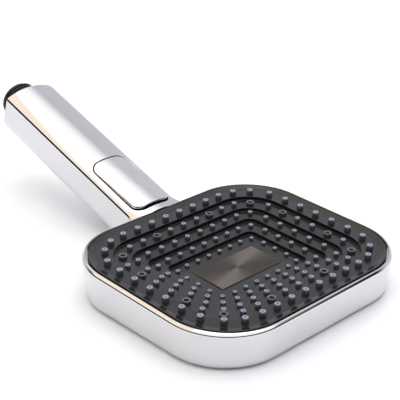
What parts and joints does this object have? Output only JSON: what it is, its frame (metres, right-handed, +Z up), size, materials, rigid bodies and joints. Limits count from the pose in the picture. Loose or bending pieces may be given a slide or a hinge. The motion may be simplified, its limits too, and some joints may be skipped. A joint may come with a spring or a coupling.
{
  "type": "handheld shower head",
  "caption": "Handheld shower head: wide rounded-rectangle stepped spray face with rubber nozzles, chromed body, angled handle with a push button and a half-inch hose thread.",
  "frame": {"origin": "on the flat back that the head rests on, under the middle of the spray face", "axes": "+Y along the head towards the handle's hose end, +Z up out of the spray face, +X to the right seen from the hose end's opposite side"},
  "size_m": [0.131, 0.2389, 0.0601],
  "materials": {
    "chrome": "bright chromium plate on moulded plastic",
    "face_black": "smooth satin black moulding",
    "nozzle_silicone": "translucent blue-grey silicone",
    "jet_plastic": "translucent grey moulding",
    "brushed_plate": "dark, brushed in rays from its centre",
    "button_grey": "satin light grey, fine moulded texture",
    "stainless": "turned stainless steel",
    "black_plastic": "black moulding",
    "connector_black": "hard black plastic, cut thread",
    "inner_grey": "glass-filled inner moulding",
    "inner_white": "natural white acetal",
    "brass": "machined",
    "seal_rubber": "black sealing rubber",
    "regulator_green": "coloured regulator insert"
  },
  "bodies": {
    "body": {"chrome_body": "chrome", "face_plate": "face_black", "nozzle_mat": "nozzle_silicone", "jet_nozzles": "jet_plastic", "centre_plate": "brushed_plate", "centre_screw": "stainless", "screw_seal": "seal_rubber", "centre_sleeve": "stainless", "mat_gasket": "seal_rubber", "chamber_tray": "inner_grey", "jet_ring": "inner_grey", "jet_ring_lid": "inner_grey", "jet_feed_pipe": "inner_white", "rain_feed_pipe": "inner_white", "feed_seals": "seal_rubber", "button_pin": "stainless", "button_tray": "black_plastic", "tray_screws": "stainless", "valve_gland": "inner_white", "rod_seal": "seal_rubber", "valve_body": "inner_white", "water_tube": "inner_white", "tube_seals": "seal_rubber", "end_cap": "black_plastic", "hose_connector": "connector_black", "connector_seal": "seal_rubber", "flow_regulator": "regulator_green", "inlet_screen": "stainless"},
    "button": {"button_cap": "button_grey"},
    "plunger": {"plunger_rod": "stainless", "spool_head": "inner_white", "spool_seal": "seal_rubber", "return_spring": "stainless"},
    "rotor": {"latch_rotor": "brass"}
  },
  "joints": [
    {"name": "button_press", "type": "hinge", "parent": "body", "child": "button", "pos_m": [0, 0.09646, 0.03116], "axis": [1, 0, 0], "range_deg": [0, 4.32], "stiffness_Nm_per_rad": 0.6, "springref_deg": -4.58},
    {"name": "plunger_slide", "type": "slide", "parent": "body", "child": "plunger", "axis": [0, 0.3261, -0.9453], "range_m": [0, 0.00221], "deforming": ["return_spring"]},
    {"name": "latch_turn", "type": "hinge", "parent": "plunger", "child": "rotor", "pos_m": [0, 0.07108, 0.01521], "axis": [0, -0.3261, 0.9453], "continuous": true}
  ],
  "couplings": [
    {"joint": "plunger_slide", "follows": "button_press", "m_per_rad": 0.0292}
  ]
}
